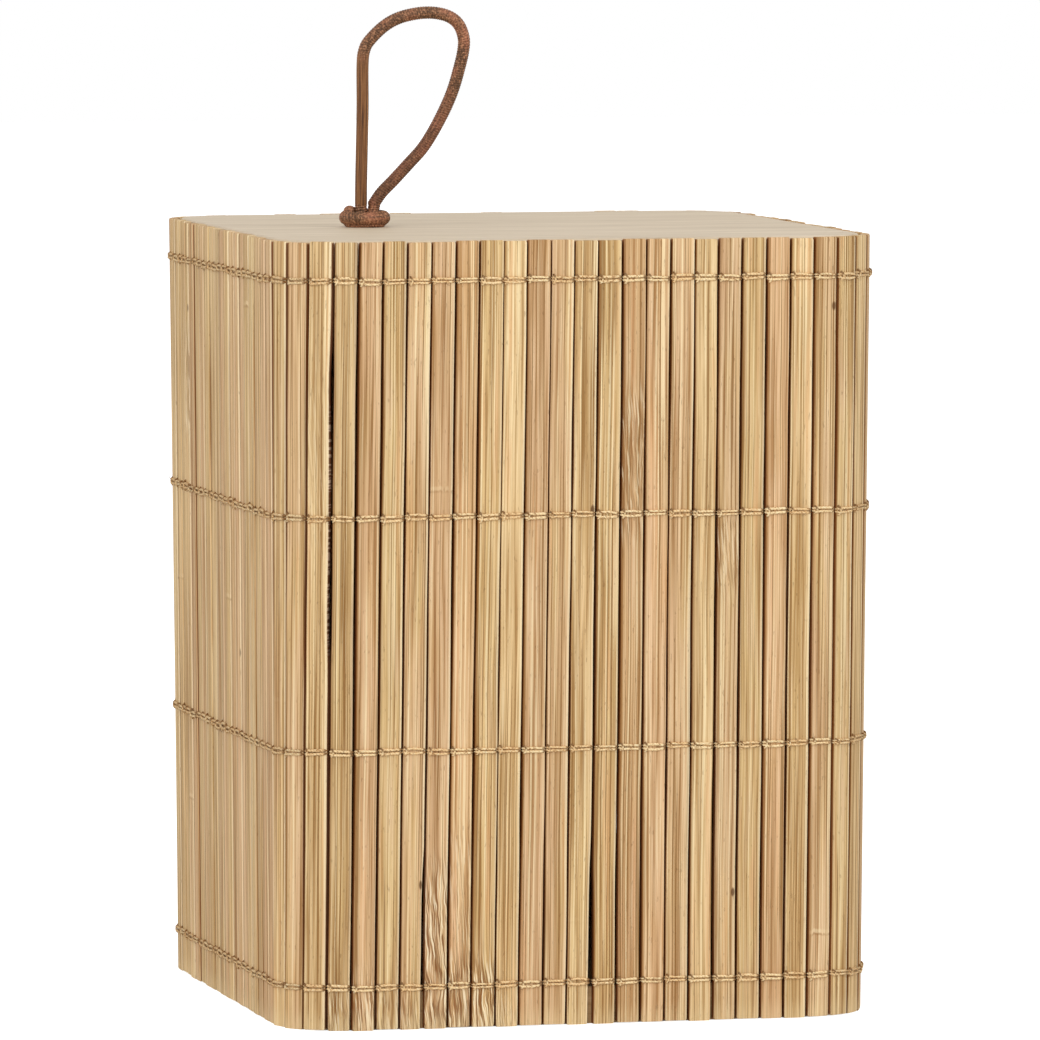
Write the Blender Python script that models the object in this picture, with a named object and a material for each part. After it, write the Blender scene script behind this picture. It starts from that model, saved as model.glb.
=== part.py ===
"""Bathroom storage box: a wall of sewn bamboo slats round a base board, with a lift-off lid on a cord loop.

Metres, +Z up, front towards -Y. The origin is on the floor, under the middle of the box.
"""

import math

import bmesh
import bpy
from mathutils import Matrix, Vector

# Wall of slats, which narrows from the rim to the floor
WIDTH = 0.150
HEIGHT = 0.190
CORNER_RADIUS = 0.0185
FLOOR_SHARE = 0.979
SLAT_COUNT = 94
SLAT_THICKNESS = 0.0020
SLAT_GAP = 0.0010

# Rows of chain stitch: the lowest above the base board, the top one below the rim, and the others as
# shares of the height. A stitch lies on each slat as two legs of thread, one above the other, that run
# together over the gaps and are pulled thin where they pass between the slats.
FOOT_ROW_RISE = 0.0014
RIM_ROW_DROP = 0.0095
MIDDLE_ROW_SHARES = (0.354, 0.651)
THREAD_DIAMETER = 0.0007
THREAD_PULLED_THIN = 0.0003
STITCH_HEIGHT = 0.0022
STITCH_JOIN = 0.0016

# Boards and the battens that carry the lid
BASE_THICKNESS = 0.009
LID_THICKNESS = 0.006
LID_CLEARANCE = 0.0008
LID_EDGE = 0.0004
LID_CORNER_STEPS = 7
BATTEN_DEPTH = 0.006
BATTEN_HEIGHT = 0.008
BATTEN_EDGE = 0.0005

# Cord handle, placed by the middle of its two strands
HANDLE_PLACE = -0.0371
CORD_DIAMETER = 0.0030
CORD_STEP_SHARE = 2.2
CORD_HOLE = 0.0074
KNOT_WIDTH = 0.0028
KNOT_LEAN = 0.0007
KNOT_HEIGHT = 0.0037
KNOT_ARC_STEPS = 6
KNOT_SECTION_STEPS = 8
KNOT_BITE = 0.0004
TAIL_LENGTH = 0.0045
TAIL_STEPS = 12
END_STEPS = 3
# Places along the loop: right of the strands' middle, and above the lid's face
LOOP_PLACES = (
    (-0.0016, 0.0110),
    (-0.0014, 0.0200),
    (-0.0012, 0.0300),
    (-0.0012, 0.0400),
    (-0.0007, 0.0437),
    (0.0007, 0.0461),
    (0.0042, 0.0494),
    (0.0081, 0.0515),
    (0.0131, 0.0526),
    (0.0174, 0.0526),
    (0.0209, 0.0516),
    (0.0232, 0.0496),
    (0.0244, 0.0463),
    (0.0242, 0.0429),
    (0.0231, 0.0384),
    (0.0217, 0.0338),
    (0.0198, 0.0293),
    (0.0170, 0.0240),
    (0.0140, 0.0194),
    (0.0105, 0.0156),
    (0.0066, 0.0115),
    (0.0036, 0.0085),
)

# Fit
SEAT = 0.0003
CUT_OVERRUN = 0.002
SAME_WAY = 0.001
SHARP_ANGLE = math.radians(40)

# Finishes: base colour and roughness
FINISHES = {
    "bamboo": ((0.64, 0.44, 0.22), 0.55),
    "thread": ((0.78, 0.58, 0.30), 0.70),
    "base_board": ((0.60, 0.47, 0.31), 0.65),
    "lid_board": ((0.64, 0.55, 0.42), 0.60),
    "batten": ((0.62, 0.48, 0.30), 0.65),
    "cord": ((0.20, 0.07, 0.035), 0.50),
}


def clear_scene():
    """Removes whatever the scene starts with."""
    for thing in list(bpy.data.objects):
        bpy.data.objects.remove(thing, do_unlink=True)


def finish(name, node):
    """A node's own material, in one of the finishes."""
    colour, roughness = FINISHES[name]
    made = bpy.data.materials.new(f"{node}_{name}")
    made.use_nodes = True
    shader = made.node_tree.nodes["Principled BSDF"]
    shader.inputs["Base Color"].default_value = (*colour, 1)
    shader.inputs["Roughness"].default_value = roughness
    shader.inputs["Metallic"].default_value = 0
    made.diffuse_color = (*colour, 1)
    return made


def link(thing, finish_name, parent=None, place=(0, 0, 0)):
    """Puts a piece in the scene with its finish, at its place under its parent."""
    bpy.context.scene.collection.objects.link(thing)
    thing.data.materials.append(finish(finish_name, thing.name))
    thing.location = place
    thing.parent = parent
    return thing


def mesh_object(name, shape, finish_name, parent=None, place=(0, 0, 0)):
    """Turns a finished bmesh into a piece with its faces outwards."""
    bmesh.ops.recalc_face_normals(shape, faces=shape.faces)
    mesh = bpy.data.meshes.new(name)
    shape.to_mesh(mesh)
    shape.free()
    return link(bpy.data.objects.new(name, mesh), finish_name, parent, place)


def place_holder(name, place, parent=None):
    """An empty that carries other pieces."""
    holder = bpy.data.objects.new(name, None)
    bpy.context.scene.collection.objects.link(holder)
    holder.location = place
    holder.parent = parent
    return holder


def hidden(thing):
    """Marks a piece that only cuts or joins another."""
    thing.hide_render = True
    thing.display_type = "WIRE"
    return thing


def combine(thing, other, operation):
    """Cuts another shape from a piece, or joins it on."""
    modifier = thing.modifiers.new(operation.lower(), "BOOLEAN")
    modifier.operation = operation
    modifier.solver = "EXACT"
    modifier.object = hidden(other)


def bevel(thing, width):
    """Breaks a piece's sharp edges."""
    modifier = thing.modifiers.new("edge", "BEVEL")
    modifier.width = width
    modifier.segments = 1
    modifier.limit_method = "ANGLE"
    modifier.angle_limit = SHARP_ANGLE


def extrude_outline(shape, outline, rise):
    """Adds one closed upright prism to a bmesh."""
    face = shape.faces.new([shape.verts.new(point) for point in outline])
    grown = bmesh.ops.extrude_face_region(shape, geom=[face], use_keep_orig=True)["geom"]
    top = [item for item in grown if isinstance(item, bmesh.types.BMVert)]
    bmesh.ops.translate(shape, verts=top, vec=Vector((0, 0, rise)))


def cell_side(cell, axis, side):
    """The four corners of one side of a cell, in order: the near side on this axis for 0, the far for 1."""
    corners = []
    for steps in ((0, 0), (1, 0), (1, 1), (0, 1)):
        steps = [*steps[:axis], side, *steps[axis:]]
        corners.append([place + step for place, step in zip(cell, steps)])
    return corners


def cell_solid(shape, points, kept):
    """Adds one closed solid: the kept cells of the grid points[i][j][k], joined where they meet.

    Cell (i, j, k) has its corners at the points from (i, j, k) to (i + 1, j + 1, k + 1). The points
    after the last i are the first.
    """
    kept = set(kept)
    made = {}
    for cell in sorted(kept):
        for axis in range(3):
            for side in (0, 1):
                beside = list(cell)
                beside[axis] += 2 * side - 1
                beside[0] %= len(points)
                if tuple(beside) in kept:
                    continue
                face = []
                for i, j, k in cell_side(cell, axis, side):
                    i %= len(points)
                    if (i, j, k) not in made:
                        made[i, j, k] = shape.verts.new(points[i][j][k])
                    face.append(made[i, j, k])
                shape.faces.new(face)


# Plan of the wall


def plan_share(height):
    """The plan's size at a height, as a share of its size at the rim."""
    return FLOOR_SHARE + (1 - FLOOR_SHARE) * height / HEIGHT


def middle_half():
    """Half the width between the middle planes of two facing walls, at the rim."""
    return WIDTH / 2 - SLAT_THICKNESS / 2


def middle_radius():
    """The corner radius of the slats' middle line, at the rim."""
    return CORNER_RADIUS - SLAT_THICKNESS / 2


def inner_half(height):
    """Half the clear width between facing walls at a height."""
    return middle_half() * plan_share(height) - SLAT_THICKNESS / 2


def flat_half(height):
    """Half the length of a wall's flat stretch at a height."""
    return (middle_half() - middle_radius()) * plan_share(height)


def across(direction):
    """The way along the wall, counter-clockwise from above, for an outward direction."""
    return Vector((-direction.y, direction.x))


def middle_line(distance):
    """The point at a distance along the slats' middle line at the rim, from the front's middle."""
    flat = middle_half() - middle_radius()
    arc = middle_radius() * math.pi / 2
    turns, along = divmod(distance, 2 * flat + arc)
    angle = min(max((along - flat) / middle_radius(), 0), math.pi / 2)
    point = Vector((flat, -flat)) + Vector((math.sin(angle), -math.cos(angle))) * middle_radius()
    point.x += min(along - flat, 0)
    point.y += max(along - flat - arc, 0)
    return Matrix.Rotation(turns * math.pi / 2, 2) @ point


def slat_pitch():
    """The distance from one slat's middle to the next, along the middle line."""
    flat = middle_half() - middle_radius()
    return (8 * flat + 2 * math.pi * middle_radius()) / SLAT_COUNT


def slat_places():
    """Each slat's middle point at the rim, and its outward normal, round from the front's middle."""
    joints = [middle_line((index - 1 / 2) * slat_pitch()) for index in range(SLAT_COUNT)]
    places = []
    for start, end in zip(joints, joints[1:] + joints[:1]):
        run = end - start
        places.append(((start + end) / 2, Vector((run.y, -run.x)).normalized()))
    return places


class Gap:
    """The gap between two neighbouring slats at a height."""

    def __init__(self, number, before, after, height):
        self.before = before
        self.after = after
        self.height = height
        self.middle = middle_line((number + 1 / 2) * slat_pitch()) * plan_share(height)
        self.way_out = (self.before + self.after).normalized()
        self.turns = abs(self.before.cross(self.after)) > SAME_WAY

    def point(self, side, offset, rise=0):
        """A point along the wall from the gap's middle, out from the slats' middle, and up."""
        normal = self.before if side < 0 else self.after
        start = across(self.way_out) * side
        reach = (offset - normal.dot(start)) / normal.dot(self.way_out)
        return Vector((*(self.middle + start + self.way_out * reach), self.height + rise))


def gaps(height):
    """The gaps after each slat, in order, at a height."""
    normals = [normal for _, normal in slat_places()]
    neighbours = zip(normals, normals[1:] + normals[:1])
    return [Gap(number, before, after, height) for number, (before, after) in enumerate(neighbours)]


# Slats and thread


def row_heights():
    """The heights of the rows of stitches, from the floor up."""
    middle = [share * HEIGHT for share in MIDDLE_ROW_SHARES]
    return [BASE_THICKNESS + FOOT_ROW_RISE, *middle, HEIGHT - RIM_ROW_DROP]


def row_levels():
    """The heights of the slats' ends and of each sewing thread's lower and upper side."""
    levels = [0]
    for height in row_heights():
        levels += [height - THREAD_DIAMETER / 2, height + THREAD_DIAMETER / 2]
    return [*levels, HEIGHT]


def slat_edges(place):
    """Points up a slat's four long edges: the inner and the outer one at its start, then at its end."""
    middle, normal = place
    half = across(normal) * (slat_pitch() - SLAT_GAP) / 2
    out = normal * SLAT_THICKNESS / 2
    edges = []
    for side in (-half, half):
        lines = (side - out, side + out)
        edges.append([[(*(middle * plan_share(z) + line), z) for z in row_levels()] for line in lines])
    return edges


def slat_pairs():
    """The wall's slats in pairs, round from the middle of the front.

    The two slats of a pair hold together as they do when sewn: by the thread that fills the gap
    between them at each row.
    """
    places = slat_places()
    spans = range(len(row_levels()) - 1)
    kept = [(line, 0, span) for line in (0, 2) for span in spans]
    kept += [(1, 0, span) for span in spans if span % 2]
    for number, (first, second) in enumerate(zip(places[::2], places[1::2]), 1):
        shape = bmesh.new()
        cell_solid(shape, slat_edges(first) + slat_edges(second), kept)
        mesh_object(f"slat_pair_{number:02d}", shape, "bamboo")


def thread_row(name, height):
    """One row of chain stitch.

    Along the outside run an upper and a lower leg of thread, which join over each gap. One thread runs
    along the inside. Between the pairs of slats the thread crosses from one side to the other.
    """
    rest = SLAT_THICKNESS / 2 + SEAT
    offsets = (rest + THREAD_DIAMETER, rest, -rest, -rest - THREAD_DIAMETER)
    half = STITCH_HEIGHT / 2
    levels = (-half, THREAD_DIAMETER - half, half - THREAD_DIAMETER, half)
    lower, middle, upper = range(len(levels) - 1)
    outside, between, inside = range(len(offsets) - 1)
    lines = []
    kept = []
    for number, gap in enumerate(gaps(height)):
        crossing = number % 2 == 1
        sides = [-STITCH_JOIN / 2, STITCH_JOIN / 2]
        if crossing:
            sides += [-THREAD_PULLED_THIN / 2, THREAD_PULLED_THIN / 2]
        if gap.turns:
            sides.append(0)
        sides.sort()
        for side, next_side in zip(sides, [*sides[1:], None]):
            line = len(lines)
            lines.append([[gap.point(side, offset, level) for level in levels] for offset in offsets])
            kept += [(line, outside, lower), (line, outside, upper), (line, inside, middle)]
            if next_side is not None:
                kept.append((line, outside, middle))
                if crossing and max(abs(side), abs(next_side)) < STITCH_JOIN / 2:
                    kept.append((line, between, middle))
    shape = bmesh.new()
    cell_solid(shape, lines, kept)
    mesh_object(name, shape, "thread")


def threads():
    """The four rows of stitches, from the floor up."""
    for number, height in enumerate(row_heights(), 1):
        thread_row(f"thread_row_{number}", height)


# Boards and battens


def base_board():
    """The board that the slats are fixed round, cut to follow them and flush with their feet."""
    shape = bmesh.new()
    outline = [gap.point(0, -SLAT_THICKNESS / 2 - SEAT) for gap in gaps(0) if gap.turns]
    extrude_outline(shape, outline, BASE_THICKNESS)
    mesh_object("base_board", shape, "base_board")


def rounded_square(half, radius, steps):
    """The outline of a square with round corners, about the origin."""
    outline = []
    for quarter in range(4):
        turn = Matrix.Rotation(quarter * math.pi / 2, 2)
        for step in range(steps + 1):
            angle = math.pi / 2 * step / steps
            reach = Vector((math.sin(angle), -math.cos(angle))) * radius
            outline.append((turn @ (Vector((half - radius, radius - half)) + reach)).to_3d())
    return outline


def lid_underside():
    """The height of the lid's lower face."""
    return HEIGHT - LID_THICKNESS


def cord_hole(lid_frame):
    """The round cutter for the cord's hole, long enough to leave both of the lid's faces clean."""
    shape = bmesh.new()
    radius = CORD_HOLE / 2
    depth = LID_THICKNESS + 2 * CUT_OVERRUN
    steps = 2 * TAIL_STEPS
    bmesh.ops.create_cone(shape, cap_ends=True, segments=steps, radius1=radius, radius2=radius, depth=depth)
    return mesh_object("cord_hole", shape, "lid_board", lid_frame, (HANDLE_PLACE, 0, LID_THICKNESS / 2))


def lid_board(lid_frame):
    """The lid: a flat board that drops in between the slats, flush with their ends."""
    half = inner_half(lid_underside()) - LID_CLEARANCE
    radius = middle_radius() * plan_share(lid_underside()) - SLAT_THICKNESS / 2 - LID_CLEARANCE
    shape = bmesh.new()
    extrude_outline(shape, rounded_square(half, radius, LID_CORNER_STEPS), LID_THICKNESS)
    board = mesh_object("lid_board", shape, "lid_board", lid_frame)
    combine(board, cord_hole(lid_frame), "DIFFERENCE")
    bevel(board, LID_EDGE)


def battens():
    """Four battens inside the rim, one on each flat wall over the top row's thread, which carry the lid."""
    foot = lid_underside() - SEAT - BATTEN_HEIGHT
    face = inner_half(foot) - SEAT - THREAD_DIAMETER - SEAT
    back = face - BATTEN_DEPTH
    reach = flat_half(foot)
    outline = [(-reach, -face, 0), (reach, -face, 0), (reach, -back, 0), (-reach, -back, 0)]
    for quarter, side in enumerate(("front", "right", "back", "left")):
        shape = bmesh.new()
        extrude_outline(shape, outline, BATTEN_HEIGHT)
        batten = mesh_object(f"{side}_batten", shape, "batten", place=(0, 0, foot))
        batten.rotation_euler.z = quarter * math.pi / 2
        bevel(batten, BATTEN_EDGE)


# Cord handle


def strand_offset():
    """How far each of the cord's two strands stands from their middle."""
    return (CORD_DIAMETER + SEAT) / 2


def wrap(name, lid_frame, inner, middle):
    """A turn of the cord pressed round the two strands, fuller on its left, where its end is tucked in."""
    shape = bmesh.new()
    rings = []
    for end in (1, -1):
        for step in range(KNOT_ARC_STEPS + 1):
            angle = math.pi * (step / KNOT_ARC_STEPS - end / 2)
            out = Vector((math.cos(angle), math.sin(angle), 0))
            width = KNOT_WIDTH - KNOT_LEAN * out.x
            ring = []
            for place in range(KNOT_SECTION_STEPS):
                turn = 2 * math.pi * place / KNOT_SECTION_STEPS
                reach = inner + width / 2 * (1 + math.cos(turn))
                point = out * reach + Vector((end * strand_offset(), 0, math.sin(turn) * KNOT_HEIGHT / 2))
                ring.append(shape.verts.new(point))
            rings.append(ring)
    for ring, following in zip(rings, rings[1:] + rings[:1]):
        corners = zip(ring, ring[1:] + ring[:1], following[1:] + following[:1], following)
        for quad in corners:
            shape.faces.new(quad)
    knot = mesh_object(name, shape, "cord", lid_frame, (HANDLE_PLACE, 0, middle))
    knot.data.shade_smooth()
    return knot


def handle_knot(lid_frame):
    """The knot that stands on the lid, with the two strands through it."""
    inner = CORD_DIAMETER / 2 + SEAT
    wrap("handle_knot", lid_frame, inner, LID_THICKNESS + SEAT + KNOT_HEIGHT / 2)


def stopper_knot(lid_frame):
    """The two strands, down through the upper knot and the lid, tied off in a knot below it."""
    top = LID_THICKNESS + SEAT + KNOT_HEIGHT
    knot_middle = -SEAT - KNOT_HEIGHT / 2
    bottom = knot_middle - KNOT_HEIGHT / 2 - TAIL_LENGTH
    shape = bmesh.new()
    for side in (-1, 1):
        bmesh.ops.create_cone(
            shape,
            cap_ends=True,
            segments=TAIL_STEPS,
            radius1=CORD_DIAMETER / 2,
            radius2=CORD_DIAMETER / 2,
            depth=top - bottom,
            matrix=Matrix.Translation((side * strand_offset(), 0, 0)),
        )
    strands = mesh_object("stopper_knot", shape, "cord", lid_frame, (HANDLE_PLACE, 0, (top + bottom) / 2))
    strands.data.shade_smooth()
    strands.data.set_sharp_from_angle(angle=SHARP_ANGLE)
    inner = CORD_DIAMETER / 2 - KNOT_BITE
    combine(strands, wrap("stopper_wrap", lid_frame, inner, knot_middle), "UNION")


def smooth_route(places, step):
    """Points about every step along a smooth curve through the places."""
    ends = [2 * places[0] - places[1], *places, 2 * places[-1] - places[-2]]
    points = []
    for before, here, there, after in zip(ends, ends[1:], ends[2:], ends[3:]):
        count = max(1, round((there - here).length / step))
        for index in range(count):
            t = index / count
            straight = 2 * here + (there - before) * t
            curved = (2 * before - 5 * here + 4 * there - after) * t**2
            eased = (3 * here - before - 3 * there + after) * t**3
            points.append((straight + curved + eased) / 2)
    return [*points, places[-1]]


def round_end(point, outwards):
    """Points and radius shares, from the tip in, of the half ball that ends a tube."""
    found = []
    for step in range(END_STEPS):
        angle = math.pi / 2 * (step + 1 / 3) / END_STEPS
        found.append((point + outwards * math.cos(angle) * CORD_DIAMETER / 2, math.sin(angle)))
    return found


def handle_loop(fold_frame, drop):
    """The cord's loop, whose round ends turn on the line above the knot that it folds about."""
    side = strand_offset()
    middle = [Vector((x, 0, z - drop)) for x, z in LOOP_PLACES]
    places = [Vector((-side, 0, 0)), *middle, Vector((side, 0, 0))]
    route = smooth_route(places, CORD_DIAMETER * CORD_STEP_SHARE)
    first = round_end(route[0], (route[0] - route[1]).normalized())
    last = round_end(route[-1], (route[-1] - route[-2]).normalized())
    stations = first + [(point, 1) for point in route] + last[::-1]
    curve = bpy.data.curves.new("handle_loop", "CURVE")
    curve.dimensions = "3D"
    curve.fill_mode = "FULL"
    curve.bevel_depth = CORD_DIAMETER / 2
    curve.bevel_resolution = 2
    curve.use_fill_caps = True
    spline = curve.splines.new("POLY")
    spline.points.add(len(stations) - 1)
    for item, (point, share) in zip(spline.points, stations):
        item.co = (*point, 1)
        item.radius = share
    spline.use_smooth = True
    link(bpy.data.objects.new("handle_loop", curve), "cord", fold_frame)


def handle(lid_frame):
    """The cord handle: the knots above and below the lid, and the loop on the line that it folds about."""
    handle_knot(lid_frame)
    stopper_knot(lid_frame)
    fold_height = SEAT + KNOT_HEIGHT + SEAT + CORD_DIAMETER / 2
    fold_place = (HANDLE_PLACE, 0, LID_THICKNESS + fold_height)
    handle_loop(place_holder("handle_fold_line", fold_place, lid_frame), fold_height)


def main():
    """Builds the box, then the lid and its handle on the line that the lid lifts along."""
    clear_scene()
    slat_pairs()
    threads()
    base_board()
    battens()
    lid_frame = place_holder("lid_lift_line", (0, 0, lid_underside()))
    lid_board(lid_frame)
    handle(lid_frame)


main()
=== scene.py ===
"""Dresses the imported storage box: its sewn bamboo wall, its boards, its cord handle, light and camera."""
import logging
import math
from dataclasses import dataclass
from enum import Enum

import bmesh
import bpy
import numpy as np
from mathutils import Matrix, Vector


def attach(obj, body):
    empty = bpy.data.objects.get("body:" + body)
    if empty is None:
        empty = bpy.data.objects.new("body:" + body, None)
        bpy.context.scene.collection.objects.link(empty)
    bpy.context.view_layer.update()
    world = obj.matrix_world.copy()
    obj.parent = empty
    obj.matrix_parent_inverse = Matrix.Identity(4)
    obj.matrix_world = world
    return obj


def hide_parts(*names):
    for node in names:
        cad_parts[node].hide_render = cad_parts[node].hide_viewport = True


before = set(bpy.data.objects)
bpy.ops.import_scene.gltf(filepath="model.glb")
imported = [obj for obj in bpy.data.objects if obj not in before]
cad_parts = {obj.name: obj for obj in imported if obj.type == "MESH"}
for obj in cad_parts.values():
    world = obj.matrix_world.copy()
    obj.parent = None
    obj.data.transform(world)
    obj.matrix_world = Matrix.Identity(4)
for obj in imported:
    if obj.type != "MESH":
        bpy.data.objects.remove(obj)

LOG = logging.getLogger("storage_box")
MM = 0.001
FULL_TURN = 2 * math.pi
HEIGHT = 0.190


def paint(red: int, green: int, blue: int) -> tuple[float, float, float, float]:
    """Turns a colour as it is seen into the linear one that a shader takes.

    Args:
        red: Red, 0 to 255.
        green: Green, 0 to 255.
        blue: Blue, 0 to 255.

    Returns:
        Linear red, green and blue, and an alpha of 1.
    """
    shares = (level / 255 for level in (red, green, blue))
    linear = (share / 12.92 if share <= 0.04045 else ((share + 0.055) / 1.055) ** 2.4 for share in shares)
    return *linear, 1.0


class Value:
    """A number, vector, colour or geometry that a node gives. Sums with it add Math nodes to its tree."""

    def __init__(self, tree: "Tree", socket: bpy.types.NodeSocket) -> None:
        """Keeps the tree and the node's output."""
        self.tree = tree
        self.socket = socket

    def __add__(self, other: object) -> "Value":
        """Adds a value or number to this one."""
        return self.tree.math("ADD", self, other)

    def __sub__(self, other: object) -> "Value":
        """Takes a value or number from this one."""
        return self.tree.math("SUBTRACT", self, other)

    def __rsub__(self, other: float) -> "Value":
        """Takes this value from a number."""
        return self.tree.math("SUBTRACT", other, self)

    def __mul__(self, other: object) -> "Value":
        """Multiplies this value by a value or number."""
        return self.tree.math("MULTIPLY", self, other)

    def __truediv__(self, other: object) -> "Value":
        """Divides this value by a value or number."""
        return self.tree.math("DIVIDE", self, other)

    def __abs__(self) -> "Value":
        """Takes the sign off this value."""
        return self.tree.math("ABSOLUTE", self)

    def fraction(self, times: float) -> "Value":
        """Multiplies this value and keeps what stands behind the point."""
        return self.tree.math("FRACT", self * times)

    def span(self, low: float, high: float, out_low: float = 0.0, out_high: float = 1.0) -> "Value":
        """Maps this value smoothly from one range to another.

        Args:
            low: Where the first range starts.
            high: Where the first range ends.
            out_low: What the start becomes.
            out_high: What the end becomes.

        Returns:
            The mapped value.
        """
        limits = {0: self, 1: low, 2: high, 3: out_low, 4: out_high}
        return self.tree.value("ShaderNodeMapRange", limits, interpolation_type="SMOOTHSTEP")


class Tree:
    """Adds nodes to a node tree, of a material or of geometry, and joins them."""

    def __init__(self, tree: bpy.types.NodeTree) -> None:
        """Starts on an empty tree."""
        self.tree = tree
        self.tree.nodes.clear()

    def add(self, kind: str, inputs: dict | None = None, **settings: object) -> bpy.types.Node:
        """Adds one node.

        Args:
            kind: The node's type name.
            inputs: Values, sockets or numbers, by the name or number of the input that takes them.
            **settings: Properties of the node.

        Returns:
            The node.
        """
        node = self.tree.nodes.new(kind)
        for name, value in settings.items():
            setattr(node, name, value)
        for key, value in (inputs or {}).items():
            value = value.socket if isinstance(value, Value) else value
            if isinstance(value, bpy.types.NodeSocket):
                self.tree.links.new(value, node.inputs[key])
            else:
                node.inputs[key].default_value = value
        return node

    def value(self, kind: str, inputs: dict | None = None, output: object = 0, **settings: object) -> Value:
        """Adds one node, as add does, and returns one of its outputs."""
        return Value(self, self.add(kind, inputs, **settings).outputs[output])

    def math(self, operation: str, first: object, second: object = 0.0, clamp: bool = False) -> Value:
        """Adds a Math node on two values."""
        return self.value("ShaderNodeMath", {0: first, 1: second}, operation=operation, use_clamp=clamp)

    def vector(self, operation: str, first: object, second: object) -> Value:
        """Adds a Vector Math node on two vectors, or on a vector and its scale."""
        inputs = {0: first, "Scale" if operation == "SCALE" else 1: second}
        return self.value("ShaderNodeVectorMath", inputs, operation=operation)

    def join(self, x: object, y: object, z: object) -> Value:
        """Makes one vector of three values."""
        return self.value("ShaderNodeCombineXYZ", {0: x, 1: y, 2: z})

    def split(self, vector: object) -> list[Value]:
        """Makes three values of one vector."""
        return [Value(self, part) for part in self.add("ShaderNodeSeparateXYZ", {0: vector}).outputs]

    def noise(self, place: object, detail: float, rough: float = 0.5) -> Value:
        """Adds a Noise Texture at the place, whose own scale is 1."""
        inputs = {"Vector": place, "Scale": 1.0, "Detail": detail, "Roughness": rough}
        return self.value("ShaderNodeTexNoise", inputs)

    def mix(self, share: object, first: object, second: object, blend: str = "MIX") -> Value:
        """Mixes two colours.

        Args:
            share: How much of the second colour there is.
            first: The first colour, as a value or as it is seen.
            second: The second colour, as a value or as it is seen.
            blend: How they mix.

        Returns:
            The mixed colour.
        """
        first, second = (paint(*item) if isinstance(item, tuple) else item for item in (first, second))
        inputs = {0: share, 6: first, 7: second}
        return self.value("ShaderNodeMix", inputs, 2, data_type="RGBA", blend_type=blend)

    def tinge(self, colour: Value, marks: tuple) -> Value:
        """Lays tints over a colour, one after another.

        Args:
            colour: The colour under them.
            marks: For each tint, where it lies, how strong it is there, and its colour as it is seen.

        Returns:
            The tinged colour.
        """
        for where, strength, tint in marks:
            colour = self.mix(where * strength, colour, tint)
        return colour

    def ramp(self, value: Value, stops: tuple) -> Value:
        """Adds a Color Ramp.

        Args:
            value: Where on the ramp to read.
            stops: Pairs of a place on the ramp and the colour that is seen there.

        Returns:
            The colour.
        """
        node = self.add("ShaderNodeValToRGB", {0: value})
        marks = node.color_ramp.elements
        while len(marks) < len(stops):
            marks.new(1.0)
        for mark, (place, colour) in zip(marks, stops):
            mark.position = place
            mark.color = paint(*colour)
        return Value(self, node.outputs[0])

    def attribute(self, name: str, output: str = "Fac") -> Value:
        """Reads a named attribute of the mesh in a material."""
        return self.value("ShaderNodeAttribute", output=output, attribute_name=name)

    def place(self) -> Value:
        """Reads the place on the object in a material."""
        return self.value("ShaderNodeTexCoord", output="Object")

    def stretched(self, scales: tuple, detail: float, rough: float = 0.5) -> Value:
        """Adds a Noise Texture at the place on the object times three scales."""
        return self.noise(self.vector("MULTIPLY", self.place(), scales), detail, rough)


class Finish:
    """A material that is made once, with the nodes that its kind gives it."""

    name = "finish"

    def __init__(self) -> None:
        """Makes the material and its nodes."""
        self.material = bpy.data.materials.new(self.name)
        self.material.use_nodes = True
        self.tree = Tree(self.material.node_tree)
        self.build()

    def build(self) -> None:
        """Adds the nodes. Each kind of finish has its own."""

    def close(self, colour: Value, rough: float, height: Value, depth: float, gloss: float) -> None:
        """Ends the nodes in a shader with a bump.

        Args:
            colour: The surface's colour.
            rough: The surface's roughness.
            height: The height that the bump follows.
            depth: How deep the bump is, in metres.
            gloss: The specular level.
        """
        bump = self.tree.value("ShaderNodeBump", {"Height": height, "Distance": depth, "Strength": 1.0})
        inputs = {"Base Color": colour, "Roughness": rough, "Specular IOR Level": gloss, "Normal": bump}
        shader = self.tree.value("ShaderNodeBsdfPrincipled", inputs)
        self.tree.add("ShaderNodeOutputMaterial", {"Surface": shader})


class Tint(Enum):
    """The colours of split bamboo, by their place on the finish's ramp."""

    TAN = 0.05
    PINK = 0.22
    SAND = 0.40
    STRAW = 0.58
    OLIVE = 0.75
    CREAM = 0.93


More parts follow.
